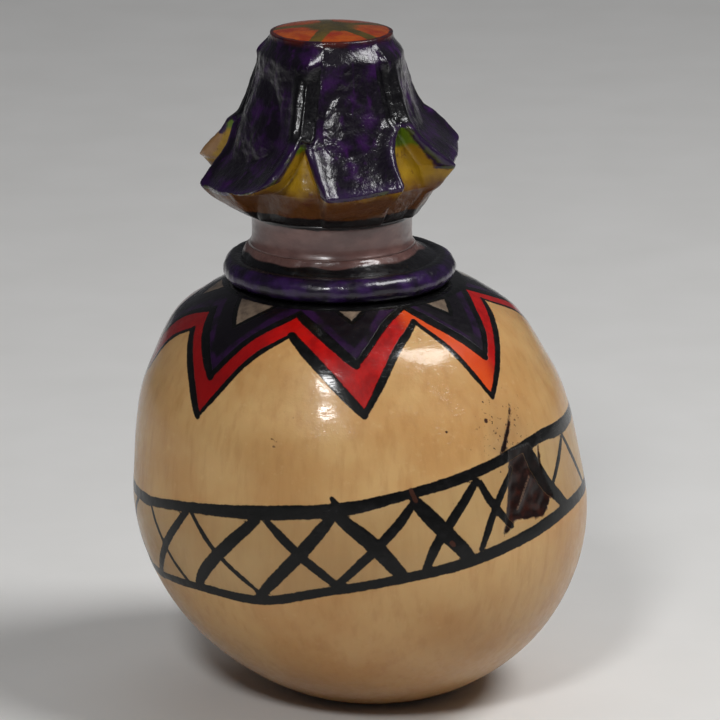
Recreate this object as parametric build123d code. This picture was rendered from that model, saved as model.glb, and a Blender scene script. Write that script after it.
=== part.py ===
from build123d import *
import os
from math import cos, pi, sin, sqrt

# A palm-nut hand rattle (maraca) with a carved flower for a head.
# Millimetres, +Z up. The origin lies on the resting plane under the middle of the nut,
# and the front of the rattle faces -Y.

# ---- nut shell -------------------------------------------------------------------------
NUT_RADIUS = 22.8           # at the belly, the widest level
BELLY_HEIGHT = 20.6         # the widest level above the resting plane
FOOT_TRIM = 0.9             # height ground off the bottom to leave the flat foot
SEAT_HEIGHT = 42.4          # flat seat that the collar is glued to
SEAT_RADIUS = 11.7
NUT_LEAN = -0.073           # sideways drift of the nut's centre line per mm of height
TRIM = 1.0                  # height ground off the top to leave the flat seat
# Shoulder outline from belly (1, 0) to seat (0, 1), as shares of the step between them.
SHOULDER_POINTS = ((0.88, 0.43), (0.70, 0.66), (0.50, 0.83), (0.24, 0.93))

# ---- rattle chamber --------------------------------------------------------------------
BELLY_WALL = 5.2
FLOOR_WALL = 4.2
ROOF_WALL = 3.0             # between the chamber's top and the seat
MOUTH_RADIUS = 5.5          # bore that the pellets are put in through

# ---- collar and neck -------------------------------------------------------------------
NECK_X = -2.8               # axis of mouth, neck and head
COLLAR_X = -2.05            # axis of the collar's bead, which is carved a little off
COLLAR_HEIGHT = 3.8
BEAD_RADIUS = 1.3           # section of the bead
BEAD_OUTER_RADIUS = 11.6
NECK_FOOT_RADIUS = 8.3
NECK_WAIST_RADIUS = 8.0
NECK_LENGTH = 3.4           # showing between collar and head
GLUE_GAP = 0.1              # on the radius, round every tenon
HEAD_TENON_RADIUS = 4.5
HEAD_TENON_LENGTH = 7.0
SOCKET_END_GAP = 0.4

# ---- flower head, with levels above the neck -------------------------------------------
PETAL_COUNT = 5
PETAL_WIDTH = 8.6           # a petal is a strip of constant width
FIRST_PETAL_ANGLE = -75.0   # degrees from +X, the petal nearest the front
PETAL_TIP_RADIUS = 12.6
PETAL_TIP_LEVEL = 5.4
LIP_THICKNESS = 1.7         # of a petal at its lower edge
CALYX_RADIUS = 10.4         # widest part of the cone under the petals
CALYX_LEVEL = 3.6
DISC_RADIUS = 6.2
DISC_LEVEL = 17.4
DISC_CROWN = 0.9            # rise of the domed top above its rim

# ---- rattle pellets --------------------------------------------------------------------
PELLET_RADIUS = 2.3
PELLET_GAP = 0.1            # between a resting pellet and the chamber's wall
# Pellets in each ring, and the ring's radius as a multiple of a pellet's.
PELLET_RINGS = ((1, 0.0), (5, 2.3), (10, 4.35))

COLLAR_TOP = SEAT_HEIGHT + COLLAR_HEIGHT
HEAD_BASE = COLLAR_TOP + NECK_LENGTH
CHAMBER_RADIUS = NUT_RADIUS - BELLY_WALL
CHAMBER_HALF_HEIGHT = (SEAT_HEIGHT - ROOF_WALL - FLOOR_WALL) / 2
CHAMBER_LEVEL = FLOOR_WALL + CHAMBER_HALF_HEIGHT
# The plug stops where the mouth's farthest side meets the chamber's roof.
MOUTH_REACH = (MOUTH_RADIUS + abs(NECK_X)) / CHAMBER_RADIUS
PLUG_END = CHAMBER_LEVEL + CHAMBER_HALF_HEIGHT * sqrt(1 - MOUTH_REACH**2)


def turned(*outline):
    """Solid of revolution about Z from a closed outline drawn in (radius, height)."""
    return revolve(Plane.XZ * make_face(outline), Axis.Z)


def rod(radius, bottom, top):
    """Upright cylinder on the Z axis between two heights."""
    return Pos(0, 0, bottom) * Cylinder(
        radius, top - bottom, align=(Align.CENTER, Align.CENTER, Align.MIN)
    )


def nut_blank():
    """The solid nut: a flat foot, an elliptical underside and a rounded shoulder."""
    underside = EllipticalCenterArc(
        (0, BELLY_HEIGHT), NUT_RADIUS, BELLY_HEIGHT + FOOT_TRIM, -90, arc_size=90
    )
    out = NUT_RADIUS - SEAT_RADIUS
    up = SEAT_HEIGHT - BELLY_HEIGHT
    above_seat = (SEAT_RADIUS - 2 * TRIM, SEAT_HEIGHT + TRIM)
    shoulder = Spline(
        (NUT_RADIUS, BELLY_HEIGHT),
        *((SEAT_RADIUS + share_out * out, BELLY_HEIGHT + share_up * up)
          for share_out, share_up in SHOULDER_POINTS),
        (SEAT_RADIUS, SEAT_HEIGHT),
        above_seat,
        tangents=((0, 1), (-2, 1)),
    )
    whole_nut = turned(
        underside,
        shoulder,
        Line(above_seat, (0, above_seat[1])),
        Line((0, above_seat[1]), underside @ 0),
    )
    lean = Matrix([
        [1, 0, NUT_LEAN, -NUT_LEAN * BELLY_HEIGHT],
        [0, 1, 0, 0],
        [0, 0, 1, 0],
        [0, 0, 0, 1],
    ])
    # The foot and the seat are ground flat after the leaning nut is shaped.
    between_flats = Pos(0, 0, SEAT_HEIGHT / 2) * Box(
        3 * NUT_RADIUS, 3 * NUT_RADIUS, SEAT_HEIGHT
    )
    return whole_nut.solid().transform_geometry(lean) & between_flats


def make_nut_shell():
    """The nut, hollowed to a round chamber through a mouth bored in its seat."""
    chamber = Pos(0, 0, CHAMBER_LEVEL) * scale(
        Sphere(CHAMBER_RADIUS), by=(1, 1, CHAMBER_HALF_HEIGHT / CHAMBER_RADIUS)
    )
    mouth = Pos(NECK_X, 0, 0) * rod(MOUTH_RADIUS, CHAMBER_LEVEL, SEAT_HEIGHT + 1)
    return nut_blank() - (chamber + mouth)


def make_collar_ring():
    """Collar: an off-centre bead at the bottom, sweeping up and in to the neck."""
    bead_axis = BEAD_OUTER_RADIUS - BEAD_RADIUS
    bead_level = SEAT_HEIGHT + BEAD_RADIUS
    bead = Pos(COLLAR_X, 0, bead_level) * Torus(bead_axis, BEAD_RADIUS)
    flare_foot = bead_level + BEAD_RADIUS / 2
    core = Pos(COLLAR_X, 0, 0) * rod(bead_axis, SEAT_HEIGHT, flare_foot)
    flare = loft([
        Pos(COLLAR_X, 0, flare_foot) * Circle(bead_axis),
        Pos(NECK_X, 0, COLLAR_TOP) * Circle(NECK_FOOT_RADIUS),
    ])
    bore = Pos(NECK_X, 0, 0) * rod(MOUTH_RADIUS, SEAT_HEIGHT - 1, COLLAR_TOP + 1)
    return bead + core + flare - bore


def make_neck_stem():
    """Waisted neck with a plug below that closes the mouth and a tenon for the head."""
    middle = (COLLAR_TOP + HEAD_BASE) / 2
    plug_radius = MOUTH_RADIUS - GLUE_GAP
    waist = turned(
        Line((0, COLLAR_TOP), (NECK_FOOT_RADIUS, COLLAR_TOP)),
        ThreePointArc(
            (NECK_FOOT_RADIUS, COLLAR_TOP), (NECK_WAIST_RADIUS, middle),
            (NECK_FOOT_RADIUS, HEAD_BASE)
        ),
        Line((NECK_FOOT_RADIUS, HEAD_BASE), (0, HEAD_BASE)),
        Line((0, HEAD_BASE), (0, COLLAR_TOP)),
    )
    plug = rod(plug_radius, PLUG_END, COLLAR_TOP)
    tenon = rod(HEAD_TENON_RADIUS, HEAD_BASE, HEAD_BASE + HEAD_TENON_LENGTH)
    return Pos(NECK_X, 0, 0) * (waist + plug + tenon)


def petal():
    """One petal on the +X side: a strip of a bell that flares to a thick lower lip."""
    flare = PETAL_TIP_RADIUS - DISC_RADIUS
    drop = DISC_LEVEL - PETAL_TIP_LEVEL
    tip = (PETAL_TIP_RADIUS, PETAL_TIP_LEVEL)
    lip_end = (PETAL_TIP_RADIUS - LIP_THICKNESS, PETAL_TIP_LEVEL - LIP_THICKNESS)
    root_radius = HEAD_TENON_RADIUS + LIP_THICKNESS
    bell = turned(
        Spline(
            (DISC_RADIUS, DISC_LEVEL),
            (DISC_RADIUS + 0.16 * flare, PETAL_TIP_LEVEL + 0.79 * drop),
            (DISC_RADIUS + 0.40 * flare, PETAL_TIP_LEVEL + 0.47 * drop),
            (DISC_RADIUS + 0.74 * flare, PETAL_TIP_LEVEL + 0.16 * drop),
            tip,
        ),
        ThreePointArc(
            tip,
            (PETAL_TIP_RADIUS - 0.2 * LIP_THICKNESS, PETAL_TIP_LEVEL - 0.7 * LIP_THICKNESS),
            lip_end,
        ),
        Line(lip_end, (root_radius, lip_end[1])),
        Line((root_radius, lip_end[1]), (root_radius / 2, DISC_LEVEL)),
        Line((root_radius / 2, DISC_LEVEL), (DISC_RADIUS, DISC_LEVEL)),
    )
    strip = Box(
        2 * PETAL_TIP_RADIUS, PETAL_WIDTH, 2 * DISC_LEVEL,
        align=(Align.MIN, Align.CENTER, Align.CENTER),
    )
    return bell & strip


def make_flower_head():
    """Flower carved from one block: calyx cone, five petals and a domed disc on top."""
    core = turned(
        Line((0, 0), (NECK_FOOT_RADIUS, 0)),
        Line((NECK_FOOT_RADIUS, 0), (CALYX_RADIUS, CALYX_LEVEL)),
        Spline(
            (CALYX_RADIUS, CALYX_LEVEL),
            (0.92 * CALYX_RADIUS, PETAL_TIP_LEVEL + LIP_THICKNESS),
            (DISC_RADIUS, DISC_LEVEL - LIP_THICKNESS),
        ),
        Line((DISC_RADIUS, DISC_LEVEL - LIP_THICKNESS), (DISC_RADIUS, DISC_LEVEL)),
        ThreePointArc(
            (DISC_RADIUS, DISC_LEVEL),
            (0.6 * DISC_RADIUS, DISC_LEVEL + 0.64 * DISC_CROWN),
            (0, DISC_LEVEL + DISC_CROWN),
        ),
        Line((0, DISC_LEVEL + DISC_CROWN), (0, 0)),
    )
    petals = PolarLocations(0, PETAL_COUNT, FIRST_PETAL_ANGLE) * petal()
    socket = rod(HEAD_TENON_RADIUS + GLUE_GAP, -1, HEAD_TENON_LENGTH + SOCKET_END_GAP)
    return Pos(NECK_X, 0, HEAD_BASE) * (core + petals - socket)


def pellet_places():
    """Centres of the pellets, resting in rings on the round floor of the chamber."""
    clearance = PELLET_RADIUS + PELLET_GAP
    for count, share in PELLET_RINGS:
        ring_radius = share * PELLET_RADIUS
        out = ring_radius / (CHAMBER_RADIUS - clearance)
        level = CHAMBER_LEVEL - (CHAMBER_HALF_HEIGHT - clearance) * sqrt(1 - out**2)
        for step in range(count):
            turn = 2 * pi * step / count
            yield Vector(ring_radius * cos(turn), ring_radius * sin(turn), level)


def main():
    nodes = {
        "nut_shell": make_nut_shell(),
        "collar_ring": make_collar_ring(),
        "neck_stem": make_neck_stem(),
        "flower_head": make_flower_head(),
    }
    for number, place in enumerate(pellet_places(), start=1):
        nodes[f"pellet_{number:02d}"] = Pos(place) * Sphere(PELLET_RADIUS)

    os.makedirs("parts", exist_ok=True)
    for name, shape in nodes.items():
        export_step(shape, f"parts/{name}.step")
        print(name, "volume", round(shape.volume, 1), "mm3")


main()
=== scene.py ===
from math import cos, pi, radians, sin

import bpy
import numpy as np
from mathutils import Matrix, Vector, noise


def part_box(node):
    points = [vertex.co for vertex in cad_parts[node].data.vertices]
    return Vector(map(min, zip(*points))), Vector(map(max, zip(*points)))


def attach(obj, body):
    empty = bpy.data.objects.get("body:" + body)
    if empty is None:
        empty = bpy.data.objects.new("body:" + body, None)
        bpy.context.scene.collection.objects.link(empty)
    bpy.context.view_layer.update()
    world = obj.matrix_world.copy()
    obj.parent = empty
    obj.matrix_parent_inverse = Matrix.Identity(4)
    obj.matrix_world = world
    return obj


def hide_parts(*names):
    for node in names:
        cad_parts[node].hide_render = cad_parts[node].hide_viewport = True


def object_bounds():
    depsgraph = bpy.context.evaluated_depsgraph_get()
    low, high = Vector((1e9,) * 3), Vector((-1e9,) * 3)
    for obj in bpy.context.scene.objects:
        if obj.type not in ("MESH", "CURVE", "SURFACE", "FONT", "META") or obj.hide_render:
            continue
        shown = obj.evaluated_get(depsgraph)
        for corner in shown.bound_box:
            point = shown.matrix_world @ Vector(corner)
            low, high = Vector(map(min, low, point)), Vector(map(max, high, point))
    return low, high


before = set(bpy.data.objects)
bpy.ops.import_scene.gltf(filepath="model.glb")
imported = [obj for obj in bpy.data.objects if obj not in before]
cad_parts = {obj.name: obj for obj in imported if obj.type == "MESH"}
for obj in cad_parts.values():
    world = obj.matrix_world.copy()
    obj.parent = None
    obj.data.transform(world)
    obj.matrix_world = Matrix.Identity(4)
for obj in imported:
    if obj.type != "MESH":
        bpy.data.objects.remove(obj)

CAD_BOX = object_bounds()
MM = 0.001                      # lengths below are in millimetres unless they say otherwise


# ==== sizes, from the frame where it has them ===========================================

def cad_corner(node, end):
    """Lowest (0) or highest (1) corner of a CAD node in millimetres."""
    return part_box(node)[end] / MM


# What a box can't give is written as the CAD model has it.
NUT_RADIUS = (cad_corner("nut_shell", 1).y - cad_corner("nut_shell", 0).y) / 2
SEAT_LEVEL = cad_corner("nut_shell", 1).z
BELLY_LEVEL = 20.6
UNDERSIDE_DEPTH = 21.5
SEAT_RADIUS = 11.7
NUT_LEAN = -0.073
SHOULDER_POINTS = ((0.88, 0.43), (0.70, 0.66), (0.50, 0.83), (0.24, 0.93))
BELLY_WALL = 5.2
FLOOR_WALL = 4.2
CHAMBER_RADIUS = NUT_RADIUS - BELLY_WALL
CHAMBER_LEVEL = FLOOR_WALL + CHAMBER_RADIUS
MOUTH_RADIUS = 5.5
MOUTH_BEVEL = 0.2
GLUE_GAP = 0.1

COLLAR_TOP = cad_corner("collar_ring", 1).z
COLLAR_X = (cad_corner("collar_ring", 1).x + cad_corner("collar_ring", 0).x) / 2
COLLAR_RADIUS = (cad_corner("collar_ring", 1).y - cad_corner("collar_ring", 0).y) / 2
BEAD_RADIUS = 1.3               # section of the collar's bead
COLLAR_SWEEP = ((9.35, 2.75), (8.75, 3.2))     # radius, level above the seat
NECK_X = (cad_corner("neck_stem", 1).x + cad_corner("neck_stem", 0).x) / 2
NECK_FOOT_RADIUS = (cad_corner("neck_stem", 1).y - cad_corner("neck_stem", 0).y) / 2
NECK_WAIST_RADIUS = NECK_FOOT_RADIUS - 0.35
PLUG_END = cad_corner("neck_stem", 0).z
TENON_END = cad_corner("neck_stem", 1).z
TENON_RADIUS = 4.5
SOCKET_END_GAP = 0.4
HEAD_BASE = cad_corner("flower_head", 0).z
HEAD_HEIGHT = cad_corner("flower_head", 1).z - HEAD_BASE


# ==== curves and meshes ==================================================================

def smooth_curve(points, per_span):
    """Catmull-Rom curve through points, which are rows of numbers."""
    points = np.array(points, float)
    padded = np.vstack([2 * points[0] - points[1], points, 2 * points[-1] - points[-2]])
    spans = []
    for a, b, c, d in zip(padded, padded[1:], padded[2:], padded[3:]):
        t = np.linspace(0, 1, per_span, endpoint=False)[:, None]
        spans.append(
            0.5 * (2 * b + (c - a) * t + (2 * a - 5 * b + 4 * c - d) * t**2
                   + (3 * b - a - 3 * c + d) * t**3)
        )
    return np.vstack(spans + [points[-1:]])


def ramp(value, low, high):
    """0 below low, 1 above high and a smooth rise between."""
    t = np.clip((value - low) / (high - low), 0, 1)
    return t * t * (3 - 2 * t)


def wander(points, scale, seed):
    """Smooth noise, about -0.5 to 0.5, at each point (mm), with features of size scale."""
    offset = Vector((seed * 17.3, seed * 5.1, seed * 9.7))
    return np.array([noise.noise(Vector(p) / scale + offset) for p in points])


def grid_object(name, rings, closed=False, attributes=()):
    """A closed mesh from rings (profile, around, xyz) in millimetres.

    An open profile is closed by a single vertex at each end, and a closed one joins its
    last ring to its first. Attributes are (name, values on the rings) pairs.
    """
    rows, around, _ = rings.shape
    step = np.arange(around)
    after = np.roll(step, -1)
    count = rows if closed else rows - 1
    faces = []
    for row in range(count):
        a = row * around
        b = ((row + 1) % rows) * around
        faces.append(np.stack([a + step, a + after, b + after, b + step], axis=1))
    faces = np.vstack(faces).tolist()
    points = rings.reshape(-1, 3)
    if not closed:
        first, last = len(points), len(points) + 1
        points = np.vstack([points, rings[0].mean(0), rings[-1].mean(0)])
        end = (rows - 1) * around
        faces += np.stack([after, step, np.full(around, first)], axis=1).tolist()
        faces += np.stack([end + step, end + after, np.full(around, last)], axis=1).tolist()
    mesh = bpy.data.meshes.new(name)
    mesh.from_pydata((points * MM).tolist(), [], faces)
    mesh.validate()
    for key, values in attributes:
        flat = np.asarray(values, float).reshape(rows * around, -1)
        if not closed:
            flat = np.vstack([flat, flat[:around].mean(0), flat[-around:].mean(0)])
        kind = "FLOAT" if flat.shape[1] == 1 else "FLOAT_VECTOR"
        slot = "value" if kind == "FLOAT" else "vector"
        mesh.attributes.new(key, kind, "POINT").data.foreach_set(slot, flat.ravel())
    mesh.shade_smooth()
    piece = bpy.data.objects.new(name, mesh)
    bpy.context.scene.collection.objects.link(piece)
    return piece


def revolve(profile, centre_x, azimuths):
    """Rings of a turned piece: profile rows are (radius, level)."""
    radius = profile[:, :1]
    x = centre_x + radius * np.sin(azimuths)
    y = -radius * np.cos(azimuths)
    z = profile[:, 1:] + 0 * x
    return np.stack([x, y, z], axis=-1)


def full_turn(count):
    """Azimuths in radians: 0 faces the front (-Y), and they grow towards +X."""
    return np.linspace(-pi, pi, count, endpoint=False)


def place(piece, material, slot, body, *nodes):
    """Material, slot (not used), body and the CAD nodes that the piece stands for."""
    piece.data.materials.append(material)
    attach(piece, body)
    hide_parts(*nodes)


# ==== the nut's surface ==================================================================

def nut_outline():
    """The nut's outer outline (radius, level), from the collar's seat down to the foot."""
    out = NUT_RADIUS - SEAT_RADIUS
    up = SEAT_LEVEL - BELLY_LEVEL
    shoulder = [(NUT_RADIUS, BELLY_LEVEL)]
    shoulder += [(SEAT_RADIUS + a * out, BELLY_LEVEL + b * up) for a, b in SHOULDER_POINTS]
    shoulder += [(SEAT_RADIUS, SEAT_LEVEL)]
    shoulder = smooth_curve(
        [(NUT_RADIUS, 2 * BELLY_LEVEL - shoulder[1][1] + 4)] + shoulder, 60
    )
    shoulder = shoulder[shoulder[:, 1] > BELLY_LEVEL][::-1]
    foot_angle = np.arcsin(BELLY_LEVEL / UNDERSIDE_DEPTH)
    angle = np.linspace(0, foot_angle, 400)
    underside = np.stack(
        [NUT_RADIUS * np.cos(angle), BELLY_LEVEL - UNDERSIDE_DEPTH * np.sin(angle)], axis=1
    )
    return np.vstack([shoulder, underside])


OUTLINE = nut_outline()
OUTLINE_DEPTH = np.r_[0, np.cumsum(np.linalg.norm(np.diff(OUTLINE, axis=0), axis=1))]
FOOT_DEPTH = OUTLINE_DEPTH[-1]


def on_nut(azimuth, depth):
    """Point of the nut's surface. Depth is measured down the surface from the collar."""
    radius = np.interp(depth, OUTLINE_DEPTH, OUTLINE[:, 0])
    level = np.interp(depth, OUTLINE_DEPTH, OUTLINE[:, 1])
    centre = NUT_LEAN * (level - BELLY_LEVEL)
    x = centre + radius * np.sin(azimuth)
    return np.stack([x, -radius * np.cos(azimuth), level + 0 * x], axis=-1)


# ==== the painted pattern on the nut =====================================================
# Places are (azimuth in degrees, depth in mm). Azimuth 0 is the front, and it grows to +X.

# One row for each point of the star: the valley before it, its tip, the widths of its two
# outline strokes, the tip of the inner V and the depth of the small triangle inside.
STAR = (
    ((-64, 6.0), (-46, 14.1), (0.95, 0.60), (-45, 10.0), 4.2),
    ((-20, 4.1), (4, 12.3), (1.15, 0.85), (3, 7.4), 2.2),
    ((29, 2.5), (44, 12.0), (0.60, 0.75), (48, 8.1), 2.6),
    ((77, 2.6), (111, 12.8), (0.50, 0.75), (109, 8.6), 3.0),
    ((132, 4.8), (151, 13.3), (0.75, 0.65), (150, 9.3), 3.9),
    ((171, 4.2), (190, 12.5), (1.00, 0.70), (191, 8.2), 2.7),
    ((212, 5.0), (232, 13.6), (0.70, 0.85), (231, 9.4), 3.6),
    ((254, 4.5), (273, 13.2), (0.80, 0.50), (273, 8.9), 3.2),
)
RED_BAND = 2.9                  # depth of the red band at a valley
RED_BAND_TOP = 0.3              # it never starts nearer to the collar
FLANK_BOW = (-0.4, -1.2)        # how far the left and right strokes bow up in the middle
INNER_WIDTHS = (1.1, 0.7)
TRIANGLE_TOP = 0.2
TRIANGLE_SPREAD = 2.65          # half its angle at the top for each mm of its depth,
TRIANGLE_MARGIN = 1.5           # and this much more
TRIANGLE_LINE = 0.24            # half the width of the line round it
CREASE_LINE = 0.55              # black line painted under the collar
ORANGE_AZIMUTH = 36             # the red turns orange round here,
CRIMSON_AZIMUTHS = (-20, -36)   # and from the first to the second of these it deepens

UPPER_LINE = ((-66, 24.4), (-46, 23.2), (-24, 22.3), (-3, 21.4), (12, 20.2), (28, 19.1),
              (46, 17.7), (58, 17.1), (70, 17.3))
LOWER_LINE = ((-67, 32.3), (-46, 31.6), (-27, 31.5), (-10, 29.9), (10, 28.4), (27, 27.4),
              (46, 26.0), (68, 24.8))
UPPER_WIDTHS = (1.0, 1.05, 1.5, 1.4, 1.0, 1.15, 1.15, 1.25, 1.5)
LOWER_WIDTHS = (0.9, 1.0, 1.1, 1.0, 1.05, 1.2, 1.3, 1.25)
# Behind, both lines follow a tilted circle: mean depth, tilt, azimuth where they are highest.
UPPER_TILT = (21.0, 3.8, 80)
LOWER_TILT = (28.8, 3.9, 85)
LINE_WIDTH = 1.15
# The places that each stroke of the lattice goes through, and its width.
LATTICE_STROKES = (
    (((-64, 25.0), (-57, 29.1), (-50, 31.9)), 0.54),
    (((-48, 23.8), (-57, 27.6), (-67, 32.0)), 0.96),
    (((-46, 23.8), (-38, 27.2), (-27, 30.6)), 0.60),
    (((-26, 23.1), (-35, 26.3), (-43, 29.3), (-47, 31.2)), 1.32),
    (((-23, 23.1), (-15, 26.1), (-6, 29.2)), 0.96),
    (((-6, 22.1), (-14, 25.7), (-27, 31.0)), 1.32),
    (((-4, 22.4), (4, 25.2), (10, 28.1)), 1.56),
    (((14, 21.2), (8, 23.8), (-6, 29.0)), 1.02),
    (((15, 21.0), (21, 23.8), (28, 27.0)), 1.62),
    (((32, 19.6), (20, 24.8), (16, 27.5)), 1.08),
    (((33, 19.8), (36, 22.1), (41, 24.6)), 0.90),
    (((44, 19.2), (37, 22.4), (31, 26.3)), 0.84),
    (((51, 17.8), (54, 20.1), (58, 22.4), (64, 24.6)), 1.50),
    (((70, 18.1), (65, 19.9), (59, 22.0)), 0.66),
    (((70, 18.0), (77, 22.0), (83, 24.8)), 0.66),
    (((-6, 20.4), (-4, 21.4)), 0.66),
)
BACK_START = 90                 # azimuth where the guessed cells behind begin
BACK_STEP = 19.6
BACK_CELLS = 10
BACK_WIDTHS = (1.1, 0.7, 1.3, 0.9, 0.8)

# The flaw's corners, the strokes and the raised ridge that go with it, and the stain around
# it. The ridge is painted paler than the flaw, a painted highlight along it.
FLAW = ((44, 17.4), (52, 17.4), (58, 23.0), (53, 24.7), (43, 24.2), (38, 25.6), (41, 22.0))
FLAW_STROKES = (
    (((49.5, 13.0), (46, 15.2), (41.5, 17.5)), 0.46),
    (((56, 17.7), (54.5, 20.4)), 0.40),
)
FLAW_RIDGE = ((50, 20.4), (47, 21.8), (44, 23.2))
RIDGE_HALF_WIDTH = 0.12
STAIN_CENTRE = (45, 15.0)
# Scratches as two ends and half a width, and specks as a place and a radius.
NICKS = (((14, 19.7), (15, 20.8), 0.22), ((23, 25.2), (23.5, 25.4), 0.25))
SPECKS = (
    (-21.4, 15.0, 0.13), (-20.2, 15.2, 0.11), (-20.8, 15.7, 0.17), (-25, 12.7, 0.07),
    (-18.5, 12.2, 0.07), (-15.8, 12.8, 0.09), (26, 14.5, 0.17), (39, 14.1, 0.26),
    (40, 12.3, 0.12), (44, 14.2, 0.15), (49, 14.7, 0.16), (41, 15.4, 0.16), (32, 16.6, 0.10),
    (40, 19.2, 0.13), (25, 21.4, 0.12),
)
FAR = 9.0                       # a distance in mm that counts as far away
BARE = -FAR                     # a value well outside a painted area


def tilted_line(front_points, tilt):
    """Closed line round the nut: chosen points in front, a tilted circle behind."""
    back = [(azimuth, tilted_depth(tilt, azimuth)) for azimuth in range(95, 285, 25)]
    points = list(front_points) + back
    return points + [(points[0][0] + 360, points[0][1])]


def stroke_points(places, per_span=8):
    """A painted stroke as points in space."""
    curve = smooth_curve(places, per_span)
    return on_nut(np.radians(curve[:, 0]), curve[:, 1])


def distance_to_path(points, path, half_widths):
    """Least distance from each point to a path, less the path's half-width there."""
    best = np.full(len(points), FAR)
    for a, b, wa, wb in zip(path, path[1:], half_widths, half_widths[1:]):
        along = b - a
        t = np.clip(((points - a) @ along) / max(along @ along, 1e-9), 0, 1)
        gap = np.linalg.norm(points - a - t[:, None] * along, axis=1)
        best = np.minimum(best, gap - wa - (wb - wa) * t)
    return best


def add_stroke(field, points, places, width, taper=0.75):
    """Lowers field (signed distance to paint, mm) where a brush stroke passes."""
    path = stroke_points(places)
    reach = 2.0
    near = np.all((points > path.min(0) - reach) & (points < path.max(0) + reach), axis=1)
    t = np.linspace(0, 1, len(path))
    if np.ndim(width):
        half = np.interp(t, np.linspace(0, 1, len(width)), width) / 2
    else:
        half = width / 2 * (1 - (1 - taper) * np.abs(2 * t - 1) ** 3)
    field[near] = np.minimum(field[near], distance_to_path(points[near], path, half))


def bowed(a, b, bow):
    """Three places from a to b, the middle one moved by bow in depth."""
    return a, ((a[0] + b[0]) / 2, (a[1] + b[1]) / 2 + bow), b


def red_top(valley):
    """Where the red band's upper edge peaks, above a valley of the outline."""
    return valley[0], max(valley[1] - RED_BAND, RED_BAND_TOP)


def star_flanks():
    """Outer and inner flanks of every star point: (places, width) pairs."""
    outer, inner = [], []
    for number, (valley, tip, widths, inner_tip, _) in enumerate(STAR):
        following = STAR[(number + 1) % len(STAR)][0]
        turn = 360 if following[0] < tip[0] else 0
        following = (following[0] + turn, following[1])
        outer.append((bowed(valley, tip, FLANK_BOW[0]), widths[0]))
        outer.append((bowed(tip, following, FLANK_BOW[1]), widths[1]))
        inner.append((bowed(red_top(valley), inner_tip, FLANK_BOW[0]), INNER_WIDTHS[0]))
        inner.append((bowed(inner_tip, red_top(following), FLANK_BOW[1]), INNER_WIDTHS[1]))
    return outer, inner


def triangles():
    """Corners of the small triangle in each star point: left, tip, right."""
    for _, _, _, (middle, _), depth in STAR:
        half = TRIANGLE_SPREAD * depth + TRIANGLE_MARGIN
        yield (middle - half, TRIANGLE_TOP), (middle, depth), (middle + half, TRIANGLE_TOP)


def lattice_behind():
    """Crossed strokes of the lattice round the back, one cross for each cell."""
    for cell in range(BACK_CELLS):
        ends = []
        for azimuth in (BACK_START + cell * BACK_STEP, BACK_START + (cell + 1) * BACK_STEP):
            upper = (azimuth, tilted_depth(UPPER_TILT, azimuth) + 0.4)
            lower = (azimuth, tilted_depth(LOWER_TILT, azimuth) - 0.3)
            ends.append((upper, lower))
        (upper_left, lower_left), (upper_right, lower_right) = ends
        falling_width = BACK_WIDTHS[cell % len(BACK_WIDTHS)]
        rising_width = BACK_WIDTHS[(cell + 2) % len(BACK_WIDTHS)]
        yield bowed(upper_left, lower_right, 0.2), falling_width
        yield bowed(upper_right, lower_left, -0.2), rising_width


def tilted_depth(tilt, azimuth):
    """Depth of a tilted circle at an azimuth in degrees."""
    mean, swing, highest = tilt
    return mean - swing * cos(radians(azimuth - highest))


def line_depth(strokes, azimuths):
    """Depth at each azimuth of a line round the nut that is made of these strokes."""
    curve = np.vstack([smooth_curve(places, 10)[:-1] for places in strokes])
    start = curve[0, 0]
    shifted = (np.degrees(azimuths) - start) % 360 + start
    order = np.argsort(curve[:, 0])
    return np.interp(shifted, curve[order, 0], curve[order, 1], period=360)


def polygon_distance(azimuths, depths, corners):
    """Signed distance in mm, negative inside, to a small polygon on the nut."""
    corners = np.array(corners, float)
    middle = corners.mean(0)
    scale = radians(1) * np.interp(middle[1], OUTLINE_DEPTH, OUTLINE[:, 0])
    flat = (corners - middle) * (scale, 1)
    x = ((np.degrees(azimuths) - middle[0] + 180) % 360 - 180) * scale
    y = depths - middle[1]
    points = np.stack([x, y], axis=-1).reshape(-1, 2)
    best = np.full(len(points), 1e9)
    inside = np.zeros(len(points), bool)
    for a, b in zip(flat, np.roll(flat, -1, axis=0)):
        along = b - a
        t = np.clip(((points - a) @ along) / (along @ along), 0, 1)
        best = np.minimum(best, np.linalg.norm(points - a - t[:, None] * along, axis=1))
        crosses = (a[1] > points[:, 1]) != (b[1] > points[:, 1])
        level = a[0] + (points[:, 1] - a[1]) / (along[1] or 1e-9) * along[0]
        inside ^= crosses & (points[:, 0] < level)
    return np.where(inside, -best, best).reshape(azimuths.shape)


# ==== meshes of the pieces ===============================================================

NUT_SEGMENTS = 500
FRONT_FOCUS = 0.3               # they are finer in front, where the eye is
PATTERN_END = 33.5              # rings are close down to this depth, to carry the pattern
PATTERN_STEP = 0.25
UNDERSIDE_RINGS = 28
CHAMBER_RINGS = 28
ROOF_START = 0.6                # latitude where the chamber's rings start to move, in radians
UNDULATION = (0.06, 8.0)        # height and size of the soft unevenness, in mm
RIPPLE = (0.008, 1.8)
PAINT_THICKNESS = 0.02
PIT_DEPTH = 0.35                # of the flaw
RIDGE_HEIGHT = 0.25             # of the raised ridge across it
FREE_EDGE = 2.5                 # relief fades out this near to the seat and the foot
NUT_MIDDLE = 20                 # level that the relief points away from


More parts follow.
